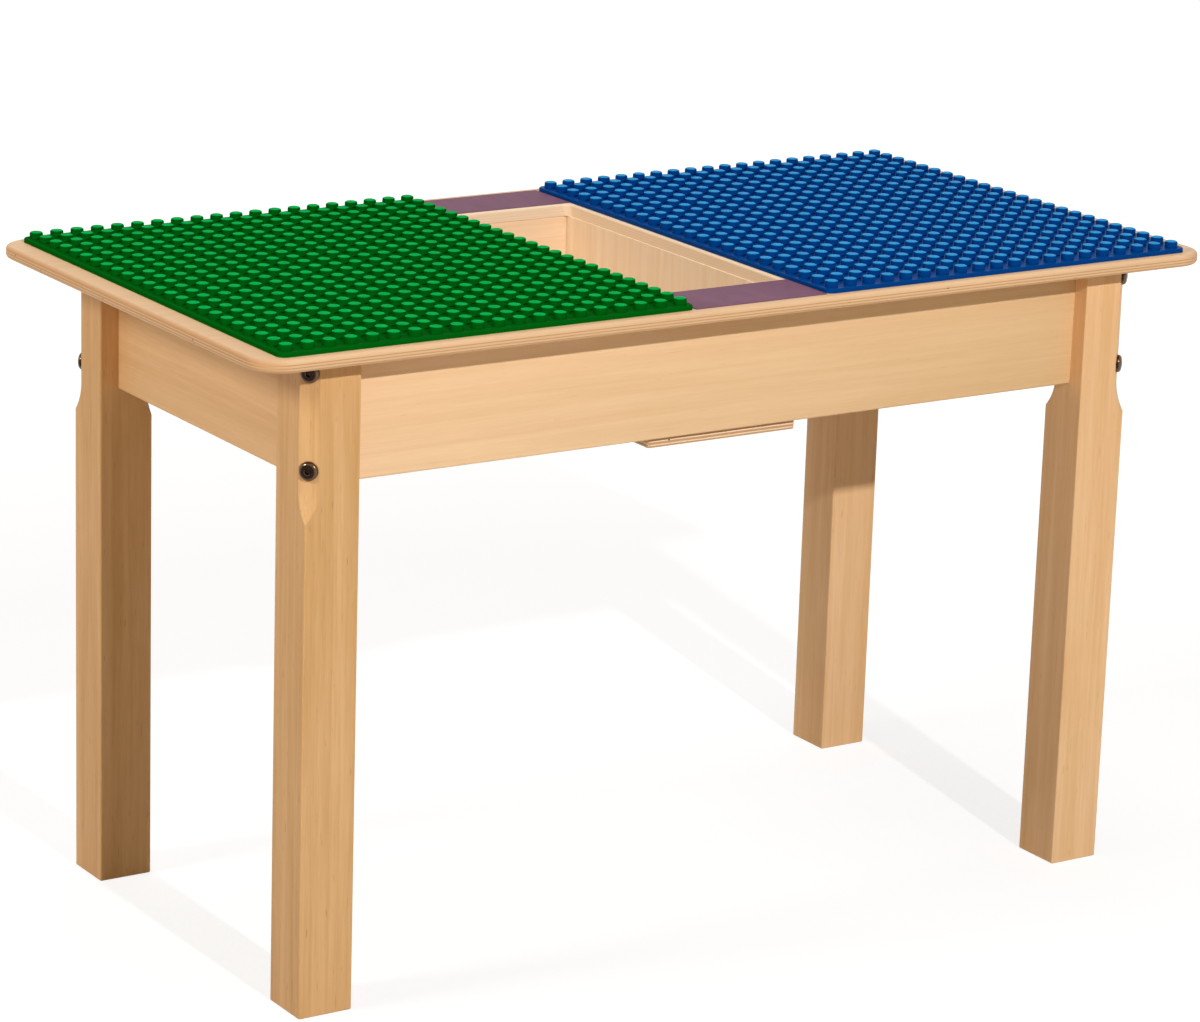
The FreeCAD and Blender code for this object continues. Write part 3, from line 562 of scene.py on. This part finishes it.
def moulded_plastic(tree, shade, top_highlight, seat, sheen):
    """ABS, injection moulded: an even strong colour with hardly any gloss.

    The tops of the studs are painted lighter where they face up, a painted highlight, some more
    and some less. The skin of the moulding is very slightly uneven.
    """
    place = node(tree, "TexCoord"), "Object"
    level = node(tree, "SeparateXYZ", {0: place}), "Z"
    upward = node(tree, "SeparateXYZ", {0: (node(tree, "NewGeometry"), "Normal")}), "Z"
    # Painted highlight where it faces up and lies over the sheet between the studs
    worn = node(tree, "MapRange", {"Value": upward, "From Min": 0.45, "From Max": 0.95})
    raised = node(tree, "Math", {0: level, 1: seat + MM}, operation="GREATER_THAN")
    worn = node(tree, "Math", {0: worn, 1: raised}, operation="MULTIPLY")
    # The painted highlight changes over 9 mm, about the width of a stud
    patches = node(tree, "Mapping", {"Vector": place, "Scale": cells(9)})
    patches = node(tree, "TexNoise", {"Vector": patches, "Scale": 1.0, "Detail": 3.0})
    patches = node(tree, "MapRange", {"Value": patches, "From Min": 0.3, "From Max": 0.7,
                                      "To Min": 0.7})
    worn = node(tree, "Math", {0: worn, 1: patches}, operation="MULTIPLY")
    tone = node(tree, "Mix", {0: worn, 6: shade, 7: top_highlight}, data_type="RGBA")
    # The unevenness of the skin is some microns over 3 mm
    skin = node(tree, "Mapping", {"Vector": place, "Scale": cells(3)})
    skin = node(tree, "TexNoise", {"Vector": skin, "Scale": 1.0})
    gloss = node(tree, "MapRange", {"Value": skin, "To Min": 0.28, "To Max": 0.4})
    relief = node(tree, "Bump", {"Height": skin, "Strength": 0.1, "Distance": 0.1 * MM})
    return {"Base Color": tone, "Roughness": gloss, "IOR": 1.5, "Specular IOR Level": sheen,
            "Normal": relief}


def vinyl_film(tree, shade):
    """Cast vinyl film stuck flat on the wood: even, satin, with the wood's fibres just felt."""
    place = node(tree, "TexCoord"), "Object"
    # The film's tone varies slightly over 14 mm
    mottle = node(tree, "Mapping", {"Vector": place, "Scale": cells(14, ACROSS, 2)})
    mottle = node(tree, "TexNoise", {"Vector": mottle, "Scale": 1.0, "Detail": 3.0})
    tone = node(tree, "ValToRGB", {"Fac": mottle},
                [(0.3, toned(shade, 0.9)), (0.7, toned(shade, 1.08))])
    # The wood's fibres under it are finer: drawn 1.2 mm wide so that they show
    fibres = node(tree, "Mapping", {"Vector": place, "Scale": cells(1.2, ALONG, 20)})
    fibres = node(tree, "TexNoise", {"Vector": fibres, "Scale": 1.0, "Detail": 1.0})
    relief = node(tree, "Bump", {"Height": fibres, "Strength": 0.1, "Distance": 0.1 * MM})
    return {"Base Color": tone, "Roughness": 0.55, "IOR": 1.48, "Specular IOR Level": 0.1,
            "Normal": relief}


def plated_steel(tree, shade, rim, rough, worn):
    """Steel, cold headed and plated: the plating is thinner and brighter on spots of wear.

    The bolts point cornerwise out of the table, so on their flat middles the sizes of X and Y of
    the
    normal add up to the root of two. Where they add up to less is the rim. A painted reflection:
    the middle, which faces straight out, is painted darker than the rim.
    """
    place = node(tree, "TexCoord"), "Object"
    # Worn spots of 2.5 mm, a few on each head
    blotches = node(tree, "Mapping", {"Vector": place, "Scale": cells(2.5)})
    blotches = node(tree, "TexNoise", {"Vector": blotches, "Scale": 1.0, "Detail": 4.0,
                                       "Roughness": 0.65})
    tone = node(tree, "ValToRGB", {"Fac": blotches}, [(0.35, shade), (0.75, toned(shade, worn))])
    # Painted reflection: dark where the head faces straight out, lighter over the dome and rim
    normal = node(tree, "SeparateXYZ", {0: (node(tree, "NewGeometry"), "Normal")})
    sideways = [node(tree, "Math", {0: (normal, axis)}, operation="ABSOLUTE") for axis in "XY"]
    outward = node(tree, "Math", dict(enumerate(sideways)), operation="ADD")
    middle = node(tree, "MapRange", {"Value": outward, "From Min": 1.2, "From Max": 1.37})
    tone = node(tree, "Mix", {0: middle, 6: rim, 7: tone}, data_type="RGBA")
    gloss = node(tree, "MapRange", {"Value": blotches, "From Min": 0.3, "From Max": 0.7,
                                    "To Min": 0.8 * rough, "To Max": 1.25 * rough})
    relief = node(tree, "Bump", {"Height": blotches, "Strength": 0.15, "Distance": 0.05 * MM})
    return {"Base Color": tone, "Metallic": 1.0, "Roughness": gloss, "Normal": relief}


def finished(name, look, *values, **settings):
    """The material of that name, made by its look the first time it is asked for."""
    material = bpy.data.materials.get(name)
    if material is None:
        material = bpy.data.materials.new(name)
        tree = new_tree(material)
        surface = node(tree, "BsdfPrincipled", look(tree, *values, **settings))
        node(tree, "OutputMaterial", {"Surface": surface})
    return material


# ---------------------------------------------------------------- the table's pieces

class PieceOperator:
    """What every piece of the table has in common."""
    bl_options = {"REGISTER", "UNDO"}

    @property
    def table(self):
        """The settings of the table in this scene."""
        return bpy.context.scene.play_table

    @property
    def leg_maple(self):
        """The wood of the left-hand legs, which the corner blocks share."""
        finish = self.table.finish
        return finished("maple, upright, lacquered", maple, UPRIGHT, finish.leg_light,
                        finish.leg_dark, finish.fleck)


class PLAYTABLE_OT_top(PieceOperator, bpy.types.Operator):
    """Adds the plywood top with the opening of the well"""
    bl_idname = "play_table.add_top"
    bl_label = "Wooden Top"

    def execute(self, context):
        low, high = span("table_top")
        sizes, finish = self.table.top, self.table.finish
        rim = [length / 2 + sizes.opening_edge
               for length in (sizes.opening_width, sizes.opening_length)]
        wood = finished("birch plywood, lacquered", plywood, low[2], high[2] - low[2], sizes.plies,
                        ALONG, finish, finish.ply_light, opening=rim)
        new_piece("wooden_top", [top_surface(low, high, sizes)], wood,
                  ["table_top"])
        return {"FINISHED"}


class PLAYTABLE_OT_plates(PieceOperator, bpy.types.Operator):
    """Adds the green and the blue building plate with their studs"""
    bl_idname = "play_table.add_plates"
    bl_label = "Building Plates"

    def execute(self, context):
        sizes, finish = self.table.plates, self.table.finish
        # Each plate's colour, the painted highlight on its stud tops, and how strongly it mirrors
        for name, shade, top_highlight, sheen in (
                ("green", finish.green, finish.green_highlight, finish.green_sheen),
                ("blue", finish.blue, finish.blue_highlight, finish.blue_sheen)):
            low, high = span(name + "_baseplate")
            seat = high.copy()
            seat[2] -= sizes.stud_height
            sheet = self.sheet(low, seat, sizes)
            counts = np.rint((high - low)[:2] / sizes.pitch).astype(int)
            grid = [(np.arange(n) - (n - 1) / 2) * sizes.pitch for n in counts]
            x, y = (line.ravel() for line in np.meshgrid(*grid, indexing="ij"))
            middle = (low + high) / 2
            places = np.stack([x + middle[0], y + middle[1], np.full(len(x), seat[2])], -1)
            stud = stud_surface(sizes.stud / 2, sizes.stud_height, sizes.stud_edge)
            plastic = finished(name + " ABS, moulded", moulded_plastic, shade, top_highlight, seat[2],
                               sheen)
            new_piece(name + "_plate", [sheet, copies_of(stud, places)], plastic,
                      [name + "_baseplate", name + "_studs"])
        return {"FINISHED"}

    def sheet(self, low, high, sizes):
        """The sheet under the studs: rounded outlines, drawn in over its upper edge."""
        inward, forward = quarter_round(sizes.edge, steps=4)
        inset = np.concatenate([[0], inward])
        heights = np.concatenate([[low[2]], high[2] - sizes.edge + forward])
        half = (high - low) / 2
        rings = at_heights(rounded_outline(half[0] - inset, half[1] - inset, sizes.corner - inset),
                           heights)
        rings[..., :2] += ((low + high) / 2)[:2]
        return shell(rings)


class PLAYTABLE_OT_strips(PieceOperator, bpy.types.Operator):
    """Adds the bare coloured strips in front of and behind the well"""
    bl_idname = "play_table.add_strips"
    bl_label = "Coloured Strips"

    def execute(self, context):
        edge = self.table.boards.strip_edge
        film = finished("vinyl film, purple", vinyl_film, self.table.finish.strip)
        for end in ("front", "back"):
            low, high = span(end + "_label_strip")
            new_piece(end + "_strip", [slab(low, high, 5 * edge, edge)], film,
                      [end + "_label_strip"])
        return {"FINISHED"}


class PLAYTABLE_OT_legs(PieceOperator, bpy.types.Operator):
    """Adds the four legs with their bolt flats"""
    bl_idname = "play_table.add_legs"
    bl_label = "Legs"

    def execute(self, context):
        finish = self.table.finish
        # The right-hand legs get a lighter copy of the maple: painted light
        paler = finished("maple, upright, pale, lacquered", maple, UPRIGHT, finish.pale_light,
                         finish.pale_dark, finish.fleck, marked=0.2)
        apron_low = span("front_apron")[0][2]
        quarter = np.array([[0, -1, 0], [1, 0, 0], [0, 0, 1]], float)
        for corner in ("front_left", "front_right", "back_left", "back_right"):
            wood = paler if corner.endswith("right") else self.leg_maple
            low, high = span("leg_" + corner)
            middle = (low + high) / 2
            leg = leg_surface((high - low)[0] / 2, high[2], apron_low, self.table.legs)
            turn = np.eye(3) if middle[0] * middle[1] > 0 else quarter
            place = np.array([[middle[0], middle[1], 0]])
            new_piece("leg." + corner, [copies_of(leg, place, turn[None])], wood,
                      ["leg_" + corner], sharp=75)
        return {"FINISHED"}


class PLAYTABLE_OT_aprons(PieceOperator, bpy.types.Operator):
    """Adds the four boards that join the legs"""
    bl_idname = "play_table.add_aprons"
    bl_label = "Aprons"

    def execute(self, context):
        sizes, finish = self.table.boards, self.table.finish
        end_tones = finish.end_light, finish.end_dark
        # The front apron is painted darker towards its right end: painted shade
        for side, axis, kind, tones, fade in (
                ("front", ALONG, "deepening", (finish.apron_light, finish.apron_dark),
                 finish.apron_right_end_shade),
                ("back", ALONG, "pale", (finish.back_light, finish.back_dark), WHITE),
                ("left", ACROSS, "even", end_tones, WHITE),
                ("right", ACROSS, "even", end_tones, WHITE)):
            wood = finished("maple, along %s, %s, lacquered" % ("XY"[axis], kind), maple, axis,
                            *tones, finish.fleck, streak_mm=38, marked=0.12, fade=fade)
            low, high = span(side + "_apron")
            board = slab(low, high, sizes.apron_edge, sizes.joint_edge, axis)
            new_piece("apron." + side, [board], wood, [side + "_apron"])
        return {"FINISHED"}


class PLAYTABLE_OT_well(PieceOperator, bpy.types.Operator):
    """Adds the side walls and the bottom of the storage well"""
    bl_idname = "play_table.add_well"
    bl_label = "Storage Well"

    def execute(self, context):
        edge, finish = self.table.boards.sheet_edge, self.table.finish
        low, high = span("well_bottom")
        wood = finished("birch plywood, thin, flat", plywood, low[2], high[2] - low[2], plies=5,
                        grain_axis=ACROSS, finish=finish, veneer=finish.well_light)
        new_piece("well_floor", [slab(low, high, 3 * edge, edge)], wood,
                  ["well_bottom"])
        wood = finished("birch, upright, lacquered", maple, UPRIGHT, finish.well_light,
                        finish.well_dark, finish.well_dark, streak_mm=14, marked=0.3, sheen=0.6)
        half_opening = self.table.top.opening_width / 2 - self.table.boards.wall_proud
        for side in ("left", "right"):
            low, high = span("well_%s_wall" % side)
            if side == "left":
                high[0] = -half_opening
            else:
                low[0] = half_opening
            new_piece("well_wall." + side, [slab(low, high, edge, edge / 2)], wood,
                      ["well_%s_wall" % side])
        return {"FINISHED"}


class PLAYTABLE_OT_bolts(PieceOperator, bpy.types.Operator):
    """Adds the domed heads of the bolts through the legs"""
    bl_idname = "play_table.add_bolts"
    bl_label = "Bolt Heads"

    def execute(self, context):
        sizes, legs = self.table.bolts, self.table.legs
        low, high = span("leg_bolts")
        leg_low, leg_high = span("leg_back_right")
        middle, half = (leg_low + leg_high) / 2, (leg_high - leg_low)[0] / 2
        flat = (2 * half - legs.flat) / np.sqrt(2)
        corners = np.radians([45, 135, 225, 315])
        levels = low[2] + sizes.head / 2, high[2] - sizes.head / 2
        angle = corners.repeat(len(levels))
        out = np.stack([np.cos(angle), np.sin(angle)], -1)
        places = np.column_stack([np.sign(out) * middle[:2] + out * flat,
                                  np.tile(levels, len(corners))])
        # A head's own X runs level along the flat of its leg, its Y upwards and its Z outwards
        turns = np.zeros((len(places), 3, 3))
        turns[:, 0, 0], turns[:, 1, 0] = -out[:, 1], out[:, 0]
        turns[:, 2, 1] = 1
        turns[:, :2, 2] = out
        heads = copies_of(bolt_surface(sizes), places, turns)
        finish = self.table.finish
        # The middles of the heads are painted darker than their rims: a painted reflection
        steel = finished("steel, bronze plated", plated_steel, finish.bronze, finish.bronze_rim,
                         rough=0.16, worn=1.8)
        new_piece("bolt_heads", [heads], steel, ["leg_bolts"])
        return {"FINISHED"}


class PLAYTABLE_OT_fittings(PieceOperator, bpy.types.Operator):
    """Gives the corner blocks, nuts and screws under the table their materials"""
    bl_idname = "play_table.finish_fittings"
    bl_label = "Corner Blocks and Fittings"

    def execute(self, context):
        finish = self.table.finish
        zinc = finished("steel, zinc plated", plated_steel, finish.zinc, finish.zinc, rough=0.3,
                        worn=1.1)
        for name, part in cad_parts.items():
            if part.hide_render:    # a piece of the scene stands for it
                continue
            part.data.materials.clear()
            part.data.materials.append(
                self.leg_maple if name.startswith("corner_block") else zinc)
        return {"FINISHED"}


class PLAYTABLE_OT_stage(PieceOperator, bpy.types.Operator):
    """Adds the floor, the lights, the room and the camera"""
    bl_idname = "play_table.add_stage"
    bl_label = "Stage"

    def execute(self, context):
        stage = self.table.stage
        self.floor()
        self.room(stage.ambient)
        for name, setting, *rest in LAMPS:
            self.lamp(name, getattr(stage, setting), *rest)
        self.camera(stage.lens)
        context.scene.view_settings.view_transform = "Standard"
        return {"FINISHED"}

    def floor(self):
        """A pale floor: one round face.

        Where it is seen it is white, so that only the table's faint shadow shows on it. To all
        other light it is plainly pale.
        """
        radius, sides = 14.0, 96
        angle = np.linspace(0, 2 * np.pi, sides, endpoint=False)
        mesh = bpy.data.meshes.new("floor")
        points = radius * np.stack([np.cos(angle), np.sin(angle), 0 * angle], -1)
        mesh.from_pydata(points, [], [list(range(sides))])
        material = bpy.data.materials.new("studio floor, matt paint")
        tree = new_tree(material)
        in_view = self.seen(tree)
        paint = node(tree, "Mix", {0: in_view, 6: linear("#CFC8BC"), 7: linear("#959595")},
                     data_type="RGBA")
        # It glows less near the table, so that the shadow shows there: within 0.8 m of the middle
        # four fifths as much as from 2.2 m on
        distance = node(tree, "VectorMath", {0: (node(tree, "TexCoord"), "Object")},
                        operation="LENGTH")
        glow = node(tree, "MapRange", {"Value": distance, "From Min": 0.8, "From Max": 2.2,
                                       "To Min": 0.8})
        glow = node(tree, "Math", {0: glow, 1: in_view}, operation="MULTIPLY")
        surface = node(tree, "BsdfPrincipled", {
            "Base Color": paint, "Roughness": 0.9, "IOR": 1.45, "Specular IOR Level": 0.0,
            "Emission Color": WHITE, "Emission Strength": glow})
        # Its underside lets the view through to the table
        side = node(tree, "MixShader", {0: (node(tree, "NewGeometry"), "Backfacing"), 1: surface,
                                        2: node(tree, "BsdfTransparent")})
        node(tree, "OutputMaterial", {"Surface": side})
        mesh.materials.append(material)
        floor = bpy.data.objects.new("floor", mesh)
        bpy.context.scene.collection.objects.link(floor)

    def seen(self, tree):
        """1 for rays that look at the background straight, in a reflection or through glass."""
        path = node(tree, "LightPath")
        direct = node(tree, "Math", {0: (path, "Is Camera Ray"), 1: (path, "Is Glossy Ray")},
                      operation="MAXIMUM")
        return node(tree, "Math", {0: direct, 1: (path, "Is Transmission Ray")},
                    operation="MAXIMUM")

    def room(self, ambient):
        """A room that gives a soft, slightly warm light, and is white where it is seen."""
        world = bpy.data.worlds.new("room")
        tree = new_tree(world)
        light = node(tree, "Background", {"Color": WARM, "Strength": ambient})
        view = node(tree, "Background", {"Color": WHITE, "Strength": 1.0})
        both = node(tree, "MixShader", {0: self.seen(tree), 1: light, 2: view})
        node(tree, "OutputWorld", {"Surface": both})
        bpy.context.scene.world = world

    def lamp(self, name, watts, place, width, tint, mirrored):
        """A square light that faces the table, and shows in reflections only or never in them."""
        light = bpy.data.lights.new(name, "AREA")
        light.shape, light.size, light.energy, light.color = "SQUARE", width, watts, tint
        lamp = bpy.data.objects.new(name, light)
        lamp.visible_glossy, lamp.visible_diffuse = mirrored, not mirrored
        towards = Vector(LAMPS_AIM) - Vector(place)
        lamp.location, lamp.rotation_euler = place, towards.to_track_quat("-Z", "Y").to_euler()
        bpy.context.scene.collection.objects.link(lamp)

    def camera(self, lens):
        """The camera: turned by an azimuth, an elevation and a slight roll."""
        azimuth, elevation, roll = np.radians([CAMERA_AZIMUTH, CAMERA_ELEVATION, CAMERA_ROLL])
        back = np.array([np.sin(azimuth) * np.cos(elevation),
                         -np.cos(azimuth) * np.cos(elevation), np.sin(elevation)])
        right = np.cross([0, 0, 1], back)
        right /= np.linalg.norm(right)
        up = np.cross(back, right)
        axes = np.stack([np.cos(roll) * right + np.sin(roll) * up,
                         np.cos(roll) * up - np.sin(roll) * right, back], -1)
        view = bpy.data.cameras.new("camera")
        view.sensor_fit, view.sensor_width, view.lens = "HORIZONTAL", 36.0, lens
        view.clip_start, view.clip_end = 0.05, 60.0
        camera = bpy.data.objects.new("camera", view)
        camera.matrix_world = Matrix.Translation(CAMERA_PLACE) @ Matrix(axes).to_4x4()
        bpy.context.scene.collection.objects.link(camera)
        bpy.context.scene.camera = camera


OPERATORS = (PLAYTABLE_OT_top, PLAYTABLE_OT_plates, PLAYTABLE_OT_strips, PLAYTABLE_OT_legs,
             PLAYTABLE_OT_aprons, PLAYTABLE_OT_well, PLAYTABLE_OT_bolts, PLAYTABLE_OT_fittings,
             PLAYTABLE_OT_stage)


class VIEW3D_PT_play_table(bpy.types.Panel):
    """Lists the pieces of the table and what can be set"""
    bl_label = "Play Table"
    bl_idname = "VIEW3D_PT_play_table"
    bl_space_type = "VIEW_3D"
    bl_region_type = "UI"
    bl_category = "Play Table"

    def draw(self, context):
        table = context.scene.play_table
        for operator in OPERATORS:
            self.layout.operator(operator.bl_idname)
        for group in (table.top, table.plates, table.legs, table.boards, table.bolts, table.finish,
                      table.stage):
            box = self.layout.box()
            for name in group.bl_rna.properties.keys():
                if name not in ("name", "rna_type"):
                    box.prop(group, name)


CLASSES = (TopSizes, PlateSizes, LegSizes, BoardSizes, BoltSizes, FinishSettings, StageSettings,
           PlayTableSettings) + OPERATORS + (VIEW3D_PT_play_table,)


def register():
    """Adds the classes and the settings to Blender."""
    for item in CLASSES:
        bpy.utils.register_class(item)
    bpy.types.Scene.play_table = PointerProperty(type=PlayTableSettings)


def unregister():
    """Takes the settings and the classes out again."""
    del bpy.types.Scene.play_table
    for item in reversed(CLASSES):
        bpy.utils.unregister_class(item)


def main():
    """Adds every piece and the stage."""
    register()
    bpy.ops.play_table.add_top()
    bpy.ops.play_table.add_plates()
    bpy.ops.play_table.add_strips()
    bpy.ops.play_table.add_legs()
    bpy.ops.play_table.add_aprons()
    bpy.ops.play_table.add_well()
    bpy.ops.play_table.add_bolts()
    bpy.ops.play_table.finish_fittings()
    bpy.ops.play_table.add_stage()


if __name__ == "__main__":
    main()
